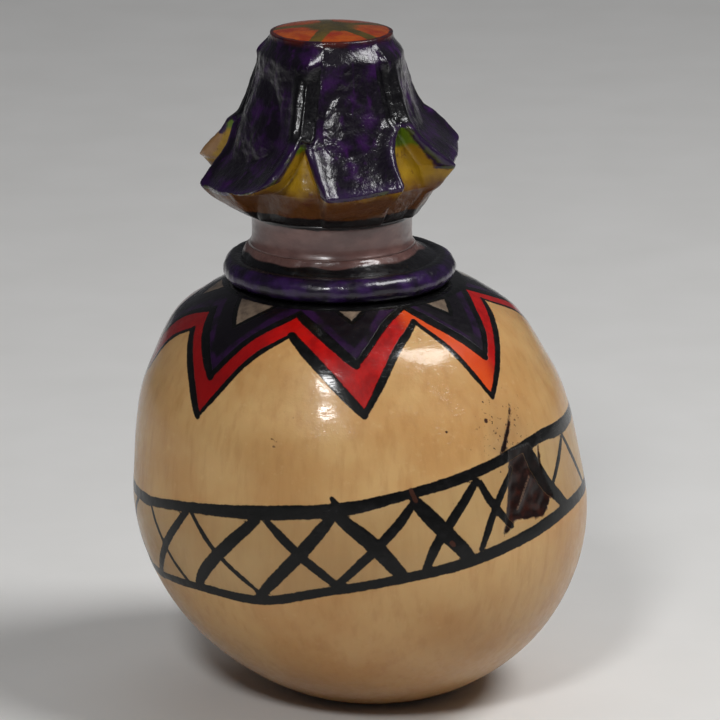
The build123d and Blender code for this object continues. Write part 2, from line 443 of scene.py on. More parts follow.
def chamber_rings(azimuths):
    """Inside of the round chamber, from its floor up to the rim of the mouth.

    The mouth is not over the chamber's middle, so the upper rings move across the roof.
    """
    angle = np.linspace(0.05 - pi / 2, np.arccos(MOUTH_RADIUS / CHAMBER_RADIUS), CHAMBER_RINGS)
    profile = CHAMBER_RADIUS * np.stack([np.cos(angle), np.sin(angle)], axis=1)
    rings = revolve(profile, 0, azimuths)
    rings[..., 0] += NECK_X * ramp(angle, ROOF_START, angle[-1])[:, None]
    reach = np.minimum(np.hypot(rings[..., 0], rings[..., 1]), CHAMBER_RADIUS)
    roof = np.sqrt(CHAMBER_RADIUS**2 - reach**2)
    rings[..., 2] = np.where(angle[:, None] > ROOF_START, roof, rings[..., 2])
    rings[..., 2] += CHAMBER_LEVEL
    return rings


def nut_shell():
    """The painted nut: chamber, mouth, seat, outside and foot in one skin."""
    even = full_turn(NUT_SEGMENTS)
    azimuths = even - FRONT_FOCUS * np.sin(even)
    mouth = np.array([(MOUTH_RADIUS, SEAT_LEVEL - MOUTH_BEVEL),
                      (MOUTH_RADIUS + MOUTH_BEVEL, SEAT_LEVEL)])
    seat = np.array([(SEAT_RADIUS - 1.5, SEAT_LEVEL)])
    inner = np.concatenate([
        chamber_rings(azimuths),
        revolve(mouth, NECK_X, azimuths),
        revolve(seat, COLLAR_X, azimuths),
    ])

    depths = np.r_[np.arange(0, PATTERN_END, PATTERN_STEP),
                   np.linspace(PATTERN_END, FOOT_DEPTH, UNDERSIDE_RINGS)]
    azimuth, depth = np.meshgrid(azimuths, depths)
    outside = on_nut(azimuth, depth)
    foot = outside[-1] * (0.6, 0.6, 1)

    points = outside.reshape(-1, 3)
    fields = paint_fields(azimuth, depth, points)
    flaw = fields["flaw"].reshape(-1)
    pits = PIT_DEPTH * ramp(-flaw, -0.2, 0.8) * (0.85 + 0.5 * wander(points, 1.1, 3))
    pits -= RIDGE_HEIGHT * ramp(-fields["ridge"].reshape(-1), -0.73, 0.07)
    raised = UNDULATION[0] * wander(points, UNDULATION[1], 1)
    raised += RIPPLE[0] * wander(points, RIPPLE[1], 2)
    raised += PAINT_THICKNESS * ramp(-fields["black"].reshape(-1), -0.1, 0.1)
    lean = NUT_LEAN * (points[:, 2:] - BELLY_LEVEL) * (1, 0, 0)
    outward = points - lean - (0, 0, NUT_MIDDLE)
    outward *= (1, 1, 0.9)
    outward /= np.linalg.norm(outward, axis=1, keepdims=True)
    free = ramp(np.minimum(depth, FOOT_DEPTH - depth).reshape(-1), 0, FREE_EDGE)
    points = points + outward * ((raised - pits) * free)[:, None]
    outside = points.reshape(outside.shape)

    blank = {"star": BARE, "inner_star": BARE, "band": BARE, "orange": 0.0, "crimson": 0.0,
             "depth": 60.0}
    skin = np.concatenate([inner, outside, foot[None]])
    attributes = []
    for key, values in fields.items():
        before = np.full(inner.shape[:2], blank.get(key, FAR))
        before[-1] = values[0]                      # the paint runs in under the collar
        after = np.full((1, len(azimuths)), blank.get(key, FAR))
        attributes.append((key, np.concatenate([before, values, after])))
    return grid_object("painted_nut", skin, attributes=attributes)


def paint_fields(azimuth, depth, points):
    """Values on the nut's outside that its paint follows, most of them distances in mm."""
    shape = azimuth.shape
    outer, inner = star_flanks()
    black = np.full(len(points), FAR)
    for places, width in outer + inner + list(LATTICE_STROKES) + list(lattice_behind()):
        add_stroke(black, points, places, width)
    upper = tilted_line(UPPER_LINE, UPPER_TILT)
    lower = tilted_line(LOWER_LINE, LOWER_TILT)
    behind = (LINE_WIDTH,) * (len(upper) - len(UPPER_LINE))
    add_stroke(black, points, upper, UPPER_WIDTHS + behind, 1)
    add_stroke(black, points, lower, LOWER_WIDTHS + behind, 1)
    triangle = np.full(shape, FAR)
    for corners in triangles():
        triangle = np.minimum(triangle, polygon_distance(azimuth, depth, corners))
    flaw = polygon_distance(azimuth, depth, FLAW)
    marks = np.full(len(points), FAR)
    for places, width in FLAW_STROKES:
        add_stroke(marks, points, places, (0.1, width, width))
    specks = np.full(len(points), FAR)
    for angle, down, radius in SPECKS:
        centre = on_nut(radians(angle), down)
        specks = np.minimum(specks, np.linalg.norm(points - centre, axis=1) - radius)
    for start, end, half in NICKS:
        path = stroke_points((start, end))
        specks = np.minimum(specks, distance_to_path(points, path, np.full(len(path), half)))
    stain = np.linalg.norm(points - on_nut(radians(STAIN_CENTRE[0]), STAIN_CENTRE[1]), axis=1)
    ridge_path = stroke_points(FLAW_RIDGE)
    half_widths = np.full(len(ridge_path), RIDGE_HALF_WIDTH)
    ridge = distance_to_path(points, ridge_path, half_widths)
    band = np.minimum(depth - line_depth([upper], azimuth),
                      line_depth([lower], azimuth) - depth)
    degrees = np.degrees(azimuth)
    shallow, deep = CRIMSON_AZIMUTHS
    return {
        "ridge": ridge.reshape(shape),
        "band": band,
        "black": black.reshape(shape),
        "star": line_depth([places for places, _ in outer], azimuth) - depth,
        "inner_star": line_depth([places for places, _ in inner], azimuth) - depth,
        "triangle": triangle,
        "flaw": np.minimum(flaw, marks.reshape(shape)),
        "speck": specks.reshape(shape),
        "stain": stain.reshape(shape),
        "orange": ramp(np.cos(np.radians(degrees - ORANGE_AZIMUTH)), 0.965, 0.992),
        "crimson": ramp(-degrees, -shallow, -deep) * (np.abs(degrees) < 90),
        "depth": depth,
    }


def collar_ring():
    """Collar: a painted bead round the foot and a hollow sweep up to the neck.

    Its angle, in degrees round the bead and on over the sweep, says what is painted where.
    """
    azimuths = full_turn(240)
    bead_centre = COLLAR_RADIUS - BEAD_RADIUS
    angle = np.radians(np.linspace(-80, 118, 26))
    bead = np.stack([bead_centre + BEAD_RADIUS * np.cos(angle),
                     SEAT_LEVEL + BEAD_RADIUS * (1 + np.sin(angle))], axis=1)
    sweep = [(radius, SEAT_LEVEL + rise) for radius, rise in COLLAR_SWEEP]
    sweep = smooth_curve([bead[-1], *sweep, (NECK_FOOT_RADIUS, COLLAR_TOP)], 8)[1:]
    bore = np.array([(MOUTH_RADIUS, COLLAR_TOP), (MOUTH_RADIUS, SEAT_LEVEL),
                     (bead_centre - 1.2, SEAT_LEVEL)])
    profile = np.vstack([bead, sweep, bore])
    azimuth, _ = np.meshgrid(azimuths, profile[:, 0])
    rings = revolve(profile, 0, azimuths)
    level = profile[:, 1:]
    centre = COLLAR_X + (NECK_X - COLLAR_X) * ramp(level, SEAT_LEVEL + 2.2, COLLAR_TOP - 0.3)
    centre[-len(bore):] = NECK_X
    rings[..., 0] += centre
    points = rings.reshape(-1, 3)
    carved = 0.16 * wander(points * (1, 1, 0.5), 3.2, 5) + 0.08 * wander(points, 1.0, 6)
    outer = np.clip((profile[:, 0] - MOUTH_RADIUS) / 1.5, 0, 1)[:, None]
    carved = carved.reshape(azimuth.shape) * outer * (level > SEAT_LEVEL + 0.1)
    carved = carved * (level < COLLAR_TOP - 0.1)
    rings[..., 0] += carved * np.sin(azimuth)
    rings[..., 1] -= carved * np.cos(azimuth)
    sweep_angles = np.linspace(125, 165, len(sweep))
    bore_angles = np.full(len(bore), 200.0)
    ring_angle = np.r_[np.degrees(angle), sweep_angles, bore_angles][:, None]
    ring_angle = np.broadcast_to(ring_angle, azimuth.shape)
    sweep_angle = ring_angle + 10 * wander(points, 3.0, 9).reshape(azimuth.shape)
    return grid_object("collar_bead", rings, closed=True,
                       attributes=(("sweep", sweep_angle), ("bead_angle", ring_angle)))


def neck_stem():
    """Waisted neck with its plug below and its tenon above."""
    azimuths = full_turn(200)
    plug = MOUTH_RADIUS - GLUE_GAP
    t = np.linspace(-1, 1, 19)
    middle = (COLLAR_TOP + HEAD_BASE) / 2
    waist = np.stack([NECK_WAIST_RADIUS + (NECK_FOOT_RADIUS - NECK_WAIST_RADIUS) * t**4,
                      middle + (HEAD_BASE - COLLAR_TOP) / 2 * t], axis=1)
    profile = np.vstack([
        [(2.5, PLUG_END), (plug - 0.3, PLUG_END), (plug, PLUG_END + 0.3), (plug, COLLAR_TOP)],
        waist,
        [(TENON_RADIUS, HEAD_BASE), (TENON_RADIUS, TENON_END - 0.4),
         (TENON_RADIUS - 0.4, TENON_END), (2, TENON_END)],
    ])
    rings = revolve(profile, NECK_X, azimuths)
    azimuth, level = np.meshgrid(azimuths, profile[:, 1])
    carved = 0.09 * wander(rings.reshape(-1, 3) * (1, 1, 0.4), 3.0, 8)
    shown = (level > COLLAR_TOP + 0.05) & (level < HEAD_BASE - 0.05)
    carved = carved.reshape(level.shape) * shown
    rings[..., 0] += carved * np.sin(azimuth)
    rings[..., 1] -= carved * np.cos(azimuth)
    return grid_object("turned_neck", rings, attributes=(("level", level),))


# One row for each petal, corners as (azimuth in degrees, level above the head's base, power
# of the curve its side follows up to the gap): left corner, right corner, tip radius, and
# how much its two lower corners are rounded off, in mm.
PETALS = (
    ((-5, 3.7, 1.1), (35, 4.7, 3.0), 11.9, (0.5, 0.3)),
    ((60, 5.6, 1.0), (112, 6.0, 0.8), 11.7, (0.2, 0.9)),
    ((135, 5.0, 0.9), (176, 4.8, 0.6), 11.9, (1.0, 1.4)),
    ((207, 4.6, 0.9), (254, 4.2, 0.7), 12.2, (1.1, 0.6)),
    ((273, 2.7, 0.8), (313.5, 3.3, 0.3), 11.5, (0.4, 2.4)),
)
# The gap on the right of each petal: azimuth and level of its top.
GAPS = ((45, 9.7), (121, 9.0), (190, 8.8), (263, 8.8), (344, 8.5))
DISC_RADIUS = 6.05
DISC_EDGE = 5.7                 # where the orange paint ends
DISC_LEVEL = 17.85
LIP_HEIGHT = 0.6
LIP_INSET = 0.9
LIP_WIDTH = 0.65
VALLEY_DEPTH = 0.9
VALLEY_WIDTH = 1.25
TROUGH_DEPTH = 0.75
TIP_FLARE = 0.8
UNDERSIDE_DROP = 3.1            # from a petal's lower edge down to the calyx
BARE_TIP = (252, 4.6, 3.0)      # azimuth, level and size of a petal tip left unpainted
PETAL_OUTLINE = ((0.0, 0.0), (0.13, 0.08), (0.24, 0.27), (0.40, 0.50), (0.60, 0.71),
                 (0.84, 0.89), (1.0, 1.0))      # out from the disc's rim, down to the tip
CALYX = ((8.25, 0.0), (8.6, 0.5), (10.2, 3.0), (10.35, 3.7), (9.9, 5.4), (9.2, 8.4),
         (8.0, 11.5), (6.9, 14.5), (6.0, 16.6))
CALYX_CORNERS = (-5, 0.03)      # azimuth of one of its five corners, and their sharpness
RAY_WIDTH = 1.3                 # of the olive rays on the disc
PETAL_REACH = 1.5               # a petal's body goes on this far past its sides,
SIDE_SLOPE = 1.5                # and above a gap it falls away this steeply
CORNER_SHARE = 0.3              # of a petal's width, where its lower corner is rounded off
EDGE_DROP = 0.45                # the violet paint ends this far under a petal's lower edge
FLOWER_SEGMENTS = 520
CORNER_LEVELS = (2.6, 7.0)      # rings are closest between these, where the corners are
TOP_BLEND = 2.2                 # the petals draw in to the disc this far below its rim
DOME_RINGS = (0.985, 0.96, 0.93, 0.89, 0.83, 0.75, 0.66, 0.56, 0.46, 0.36, 0.26, 0.16, 0.07)
DISC_CROWN = HEAD_HEIGHT + 0.1 - DISC_LEVEL
HUB_LEVEL = 18.33               # above this the disc's middle is olive


def side_azimuth(corner, gap, turn, level):
    """Azimuth (degrees) of a petal's side at each level, from its corner up to the gap."""
    azimuth, foot, power = corner
    share = np.clip((level - foot) / (gap[1] - foot), 0, 1)
    return azimuth + (gap[0] + turn - azimuth) * share**power


def petal_surface(azimuth, level):
    """The flower's outside at azimuths (radians) and levels above its base.

    Gives its radius, how far (mm) a place is inside a petal's painted edge, and how near
    it is to the valley between two petals, from 0 to 1, which the paint darkens as painted
    shade.
    """
    calyx = smooth_curve(CALYX, 12)
    core = np.interp(level, calyx[:, 1], calyx[:, 0])
    corner_azimuth, sharpness = CALYX_CORNERS
    facet = np.cos(5 * (azimuth - radians(corner_azimuth)))
    core = core * (1 + sharpness * facet * ramp(level, 0.2, 3.0) * ramp(-level, -8, -4.5))
    outline = smooth_curve(PETAL_OUTLINE, 10)
    degrees = np.degrees(azimuth)
    best, painted, valley = core.copy(), np.full(level.shape, BARE), 0 * level
    for number, (left, right, tip_radius, rounding) in enumerate(PETALS):
        left_gap, right_gap = GAPS[number - 1], GAPS[number]
        middle = (left[0] + right[0]) / 2
        local = (degrees - middle + 180) % 360 - 180 + middle
        left_turn = -360 if left_gap[0] > left[0] else 0
        left_side = side_azimuth(left, left_gap, left_turn, level)
        right_side = side_azimuth(right, right_gap, 0, level)
        across = np.clip((local - left_side) / (right_side - left_side), -0.3, 1.3)
        tip = left[1] + (right[1] - left[1]) * np.clip(across, 0, 1)
        tip = tip + rounding[0] * np.clip(1 - across / CORNER_SHARE, 0, 1.5) ** 2
        tip = tip + rounding[1] * np.clip(1 - (1 - across) / CORNER_SHARE, 0, 1.5) ** 2
        share = (DISC_LEVEL - level) / (DISC_LEVEL - tip)
        out = DISC_RADIUS + (tip_radius - DISC_RADIUS) * np.interp(
            share, outline[:, 1], outline[:, 0])
        turn = np.radians(np.clip(local - middle, -60, 60))
        body = out / np.cos(turn) ** 0.5
        body = body - TROUGH_DEPTH * np.clip(4 * across * (1 - across), 0, 1) * (
            ramp(share, 0.1, 0.6) * ramp(-share, -1.0, -0.72))
        body = body + TIP_FLARE * ramp(share, 0.70, 1.0) * ramp(across * (1 - across), 0, 0.1)
        inside = np.radians(np.minimum(local - left_side, right_side - local)) * body
        lip = np.exp(-(((inside - LIP_INSET) / LIP_WIDTH) ** 2))
        body = body + LIP_HEIGHT * lip * ramp(share, 0.08, 0.45)
        gap_level = np.where(across < 0.5, left_gap[1], right_gap[1])
        above = ramp(level, gap_level - 0.3, gap_level + 0.9)
        hollow = np.exp(-((np.maximum(inside, 0) / VALLEY_WIDTH) ** 2))
        hollow = hollow * above * ramp(share, 0.02, 0.35)
        body = body - VALLEY_DEPTH * hollow + SIDE_SLOPE * np.minimum(inside, 0) * above
        below = np.clip((tip - level) / UNDERSIDE_DROP, 0, 1)
        below = np.sqrt(below**2 + 0.015) - np.sqrt(0.015)
        body = body - (body - core) * np.clip(below, 0, 1)
        mine = inside > -PETAL_REACH
        cover = np.maximum(ramp(inside, -0.45, 0.3), above * mine)
        radius = core + (body - core) * cover
        best = np.where(mine, np.maximum(best, radius), best)
        edge = np.minimum(inside, level - tip + EDGE_DROP)
        edge = np.maximum(edge, np.where(mine, 2 * (level - gap_level), BARE))
        painted = np.where(mine, np.maximum(painted, edge), painted)
        valley = np.where(mine, np.maximum(valley, hollow), valley)
    return best, painted, valley


def flower_head():
    """Carved flower: a five-sided calyx, petals with rolled lips, and the domed disc."""
    azimuths = full_turn(FLOWER_SEGMENTS)
    lowest, highest = CORNER_LEVELS
    levels = np.r_[np.linspace(0.0, lowest, 12)[:-1], np.linspace(lowest, highest, 62)[:-1],
                   np.linspace(highest, DISC_LEVEL, 66)]
    azimuth, level = np.meshgrid(azimuths, levels)
    out, painted, valley = petal_surface(azimuth, level)
    out = out + (DISC_RADIUS - out) * ramp(level, DISC_LEVEL - TOP_BLEND, DISC_LEVEL)
    x, y = NECK_X + out * np.sin(azimuth), -out * np.cos(azimuth)
    outside = np.stack([x, y, HEAD_BASE + level], axis=-1)

    share = np.array(DOME_RINGS)[:, None]
    dome_radius = DISC_RADIUS * share + 0 * azimuths
    rise = DISC_CROWN * (1 - share**2.4)
    dome = np.stack([
        NECK_X + dome_radius * np.sin(azimuths),
        -dome_radius * np.cos(azimuths),
        HEAD_BASE + DISC_LEVEL + rise + 0 * dome_radius,
    ], axis=-1)
    socket = TENON_RADIUS + GLUE_GAP
    socket_top = TENON_END + SOCKET_END_GAP
    inside = revolve(
        np.array([(1.5, socket_top), (socket, socket_top), (socket, HEAD_BASE + 0.3),
                  (socket + 0.3, HEAD_BASE)]), NECK_X, azimuths)
    points = outside.reshape(-1, 3)
    carved = 0.18 * wander(points * (1, 1, 0.35), 2.4, 11) + 0.06 * wander(points, 0.7, 12)
    carved = carved.reshape(out.shape) * ramp(level, 0.2, 1.0) * ramp(-level, -16.8, -15)
    outside[..., 0] += carved * np.sin(azimuth)
    outside[..., 1] -= carved * np.cos(azimuth)
    skin = np.concatenate([inside, outside, dome])

    ray = np.full(dome_radius.shape, FAR)
    for gap_azimuth, _ in GAPS:
        turn = azimuths - radians(gap_azimuth)
        off = np.where(np.cos(turn) > 0, np.abs(np.sin(turn)), 1) * dome_radius
        ray = np.minimum(ray, off - RAY_WIDTH / 2)

    def whole(values, first, last):
        """Values on every ring: the socket's, the outside's and the dome's."""
        before = np.full(inside.shape[:2], first)
        return np.concatenate([before, values, last + 0 * dome_radius])

    bare_azimuth, bare_level, bare_size = BARE_TIP
    off = (np.degrees(azimuth) - bare_azimuth + 180) % 360 - 180
    bare = bare_size - np.hypot(np.radians(off) * out, level - bare_level)

    attributes = (
        ("bare", whole(bare, BARE, BARE)),
        ("painted", whole(painted, BARE, FAR)),
        ("valley", whole(valley, 0.0, 0.0)),
        ("level", whole(level, 0.0, DISC_LEVEL + rise)),
        ("disc", whole(0 * level - 1, -1.0, DISC_EDGE - dome_radius)),
        ("ray", whole(0 * level + FAR, FAR, ray)),
    )
    return grid_object("carved_flower", skin, attributes=attributes)


def seed_pellet(node, seed):
    """A hard round seed, a little uneven, with a small dent where its stalk was."""
    low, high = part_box(node)
    centre = np.array((low + high) / 2) / MM
    radius = (high.x - low.x) / 2 / MM
    tilt = np.linspace(-pi / 2 + 0.12, pi / 2 - 0.12, 26)
    profile = np.stack([np.cos(tilt), np.sin(tilt)], axis=1)
    rings = revolve(profile, 0, full_turn(44))
    directions = rings.reshape(-1, 3)
    stalk = np.array([0.5, -0.6, 0.62])
    dent = np.exp(-((1 - directions @ stalk) / 0.03) ** 2)
    size = 0.97 + 0.05 * wander(directions, 0.9, seed) - 0.06 * dent
    points = centre + directions * (radius * size)[:, None]
    return grid_object(f"seed_{node}", points.reshape(rings.shape))


# ==== materials ==========================================================================

def linear(red, green, blue):
    """Colour from display values 0-255."""
    def channel(value):
        value /= 255
        return value / 12.92 if value < 0.04045 else ((value + 0.055) / 1.055) ** 2.4
    return channel(red), channel(green), channel(blue), 1.0


MAUVE = (92, 64, 60), (116, 86, 80)
NOISE_ROUGHNESS = 0.55


class Paint:
    """A node material round one Principled shader."""

    def __init__(self, name):
        self.material = bpy.data.materials.new(name)
        self.material.use_nodes = True
        self.tree = self.material.node_tree
        self.shader = next(n for n in self.tree.nodes if n.type == "BSDF_PRINCIPLED")
        self.place = self.node("ShaderNodeTexCoord").outputs["Object"]

    def node(self, kind, inputs=(), **settings):
        """New node with its inputs, given by name or number, fed."""
        made = self.tree.nodes.new(kind)
        for key, value in settings.items():
            setattr(made, key, value)
        for key, value in dict(inputs).items():
            self.feed(made.inputs[key], value)
        return made

    def feed(self, socket, value):
        """Links a socket to the input, or sets a constant on it."""
        if isinstance(value, bpy.types.NodeSocket):
            self.tree.links.new(value, socket)
        else:
            socket.default_value = value

    def set(self, **values):
        """Inputs of the shader, with underscores for the spaces in their names."""
        for key, value in values.items():
            self.feed(self.shader.inputs[key.replace("_", " ")], value)

    def field(self, name):
        """A value kept on the mesh."""
        return self.node("ShaderNodeAttribute", attribute_name=name).outputs["Fac"]

    def math(self, operation, a, b=0.0, c=0.0):
        """Result of a Math node on values or sockets."""
        inputs = {0: a, 1: b, 2: c}
        return self.node("ShaderNodeMath", inputs, operation=operation).outputs[0]

    def times(self, a, b):
        return self.math("MULTIPLY", a, b)

    def step(self, value, low, high, bottom=0.0, top=1.0):
        """Bottom below low, top above high, smooth between; low may be above high."""
        inputs = {"Value": value, "From Min": low, "From Max": high,
                  "To Min": bottom, "To Max": top}
        made = self.node("ShaderNodeMapRange", inputs, interpolation_type="SMOOTHSTEP")
        return made.outputs[0]

    def mix(self, share, a, b):
        """Goes from a to b as share goes from 0 to 1; they are sockets or display colours."""
        made = self.node("ShaderNodeMix", data_type="RGBA")
        self.feed(made.inputs[0], share)
        sockets = [s for s in made.inputs if s.type == "RGBA"]
        for socket, colour in zip(sockets, (a, b)):
            self.feed(socket, linear(*colour) if isinstance(colour, tuple) else colour)
        return next(s for s in made.outputs if s.type == "RGBA")

    def noise(self, size, detail=3.0, stretch=(1, 1, 1)):
        """Noise whose features are about size mm, longer where stretch is above 1."""
        scale = tuple(1 / (MM * size * s) for s in stretch)
        place = self.node("ShaderNodeMapping", {"Vector": self.place, "Scale": scale})
        inputs = {"Vector": place.outputs[0], "Scale": 1.0, "Detail": detail,
                  "Roughness": NOISE_ROUGHNESS}
        return self.node("ShaderNodeTexNoise", inputs).outputs[0]

    def frayed(self, distance, size, amount):
        """A distance whose edge wavers by about amount mm."""
        waver = self.math("MULTIPLY_ADD", self.noise(size, 2.0), 2 * amount, -amount)
        return self.math("ADD", distance, waver)

    def relief(self, height, depth, below=None):
        """Bump normal from a height 0-1 that stands for depth mm."""
        inputs = {"Height": height, "Distance": depth * MM, "Strength": 1.0}
        if below is not None:
            inputs["Normal"] = below
        return self.node("ShaderNodeBump", inputs).outputs[0]


def nut_material():
    """Cream-tan nut under hard varnish, with the star, the lattice and the flaw."""
    p = Paint("nut_ivory_painted")
    broad, fine = p.noise(9, 3), p.noise(0.8, 5)
    grain = p.noise(1.0, 4, (1, 1, 7))
    body = p.mix(p.step(broad, 0.35, 0.68), (196, 150, 94), (210, 170, 114))
    body = p.mix(p.step(grain, 0.42, 0.75, 0, 0.35), body, (172, 122, 70))
    body = p.mix(p.step(fine, 0.58, 0.78, 0, 0.25), body, (222, 188, 136))
    depth = p.field("depth")
    # painted shade: the body colour darkens towards the bottom, from 18 to 50 mm down the
    # surface
    body = p.mix(p.step(depth, 18, 50, 0, 0.6), body, (120, 76, 38))
    body = p.mix(p.step(p.field("band"), 0.0, 0.4, 0, 0.4), body, (150, 128, 90))
    near = p.step(p.frayed(p.field("stain"), 2.5, 2.0), 5.0, 1.0)
    body = p.mix(p.times(near, p.step(broad, 0.4, 0.6, 0.1, 0.45)), body, (112, 80, 56))
    pepper = p.times(near, p.step(p.noise(0.42, 2), 0.63, 0.69))
    body = p.mix(pepper, body, (46, 30, 20))

    star = p.frayed(p.field("star"), 0.6, 0.07)
    inner = p.frayed(p.field("inner_star"), 0.7, 0.07)
    triangle = p.frayed(p.field("triangle"), 0.6, 0.08)
    streak = p.noise(1.3, 4, (1, 1, 2.5))
    red = p.mix(p.step(streak, 0.3, 0.7), (148, 4, 4), (184, 10, 6))
    red = p.mix(p.field("orange"), red, p.mix(streak, (206, 60, 14), (220, 86, 26)))
    red = p.mix(p.times(p.field("crimson"), 0.7), red, (128, 4, 8))
    band = p.times(p.step(inner, 0.5, 0.8), p.step(inner, 2.2, 1.7))
    purple = p.mix(p.times(band, p.step(p.noise(2.2, 3), 0.35, 0.6)), (9, 4, 11), (38, 10, 50))
    grey = p.mix(p.step(p.noise(0.9, 4), 0.3, 0.7), (96, 82, 70), (134, 116, 98))
    colour = p.mix(p.step(star, -0.05, 0.07), body, red)
    colour = p.mix(p.step(inner, -0.05, 0.07), colour, purple)
    colour = p.mix(p.step(triangle, 0.05, -0.07), colour, grey)
    rim = p.math("ABSOLUTE", triangle)
    black = p.field("black")
    black = p.math("MINIMUM", black, p.math("SUBTRACT", rim, TRIANGLE_LINE))
    black = p.math("MINIMUM", black, p.math("SUBTRACT", depth, CREASE_LINE))
    black = p.frayed(p.frayed(black, 1.4, 0.09), 0.35, 0.05)
    ink = p.step(black, 0.06, -0.07)
    ink_colour = p.mix(p.step(fine, 0.45, 0.8), (7, 7, 7), (20, 19, 20))
    colour = p.mix(ink, colour, ink_colour)
    speck = p.step(p.frayed(p.field("speck"), 0.4, 0.08), 0.05, -0.06)
    colour = p.mix(speck, colour, (62, 34, 24))
    flaw = p.step(p.frayed(p.field("flaw"), 0.8, 0.3), 0.12, -0.1)
    pit_and_ridge_highlight = p.mix(p.step(p.noise(0.9, 5), 0.4, 0.75), (22, 8, 6), (56, 24, 15))
    # painted highlight: the raised ridge across the flaw is painted paler than the dark pit
    pit_and_ridge_highlight = p.mix(p.step(p.frayed(p.field("ridge"), 0.5, 0.1), 0.08, -0.05), pit_and_ridge_highlight, (96, 74, 60))
    colour = p.mix(p.times(flaw, p.step(ink, 0.2, 0.9, 1, 0.25)), colour, pit_and_ridge_highlight)

    scratches = p.noise(0.09, 2, (9, 9, 1))
    scratch_field = p.step(p.noise(3.5, 2), 0.35, 0.7, 0.2, 1.0)
    worn = p.times(p.step(scratches, 0.5, 0.8), scratch_field)
    base = p.relief(p.noise(1.2, 3), 0.03)
    base = p.relief(ink, 0.03, base)
    base = p.relief(p.noise(0.25, 2), 0.006, p.relief(flaw, 0.08, base))
    p.set(Base_Color=colour, Roughness=p.step(fine, 0.2, 0.9, 0.32, 0.55), Normal=base)
    p.set(Specular_IOR_Level=p.step(ink, 0.0, 1.0, 0.2, 0.1))
    coat_normal = p.relief(worn, 0.014, p.relief(p.noise(3.5, 2), 0.015))
    thin = p.step(depth, 13, 24, 1.0, 0.45)
    p.set(Coat_Weight=p.times(thin, p.step(flaw, 0.0, 1.0, 1.0, 0.25)))
    p.set(Coat_Normal=coat_normal)
    p.set(Coat_Roughness=p.step(worn, 0.0, 1.0, 0.09, 0.30))
    p.set(Coat_IOR=1.36)
    bare = p.step(p.math("MINIMUM", p.times(star, -1.0), black), -0.1, 0.1)
    p.set(Subsurface_Weight=p.times(bare, 0.12), Subsurface_Scale=0.6 * MM)
    return p.material


def collar_material():
    """Near-black violet paint, black above and in the crease, then the neck's mauve."""
    p = Paint("collar_violet")
    blotch = p.noise(2.0, 4)
    violet = p.mix(p.step(blotch, 0.35, 0.7), (18, 8, 28), (48, 20, 74))
    black = p.mix(p.step(blotch, 0.4, 0.8), (6, 5, 7), (16, 13, 18))
    angle = p.frayed(p.field("bead_angle"), 1.6, 14.0)
    shade = p.math("MAXIMUM", p.step(angle, 58, 80), p.step(angle, -30, -52))
    wash = p.mix(p.step(p.noise(2.4, 4), 0.35, 0.7), *MAUVE)
    colour = p.mix(shade, violet, black)
    p.set(Base_Color=p.mix(p.step(p.field("sweep"), 148, 153), colour, wash))
    rough = p.noise(0.35, 4)
    p.set(Roughness=p.step(rough, 0.2, 0.8, 0.25, 0.5))
    p.set(Normal=p.relief(rough, 0.035, p.relief(p.noise(1.5, 3), 0.12)))
    p.set(Coat_Weight=p.step(blotch, 0.2, 0.9, 0.9, 0.6), Coat_Roughness=0.14)
    p.set(Coat_IOR=1.42, Specular_IOR_Level=0.25)
    p.set(Coat_Normal=p.relief(p.noise(0.5, 3), 0.03))
    return p.material


def neck_material():
    """Thin mauve-brown wash, with a black line under the flower."""
    p = Paint("neck_mauve")
    wash = p.noise(2.4, 4, (1, 1, 0.6))
    drag = p.noise(0.5, 4, (4, 4, 1))
    mauve = p.mix(p.step(wash, 0.35, 0.7), *MAUVE)
    mauve = p.mix(p.step(drag, 0.45, 0.8, 0, 0.4), mauve, (92, 62, 62))
    level = p.field("level")
    line = p.step(p.frayed(level, 1.7, 0.26), HEAD_BASE - 0.46, HEAD_BASE - 0.28)
    p.set(Base_Color=p.mix(line, mauve, p.mix(drag, (10, 9, 10), (26, 22, 24))))
    p.set(Roughness=p.step(drag, 0.3, 0.8, 0.3, 0.5))
    p.set(Normal=p.relief(drag, 0.03, p.relief(wash, 0.08)))
    p.set(Coat_Weight=p.step(wash, 0.2, 0.9, 0.8, 0.5), Coat_Roughness=0.2)
    return p.material


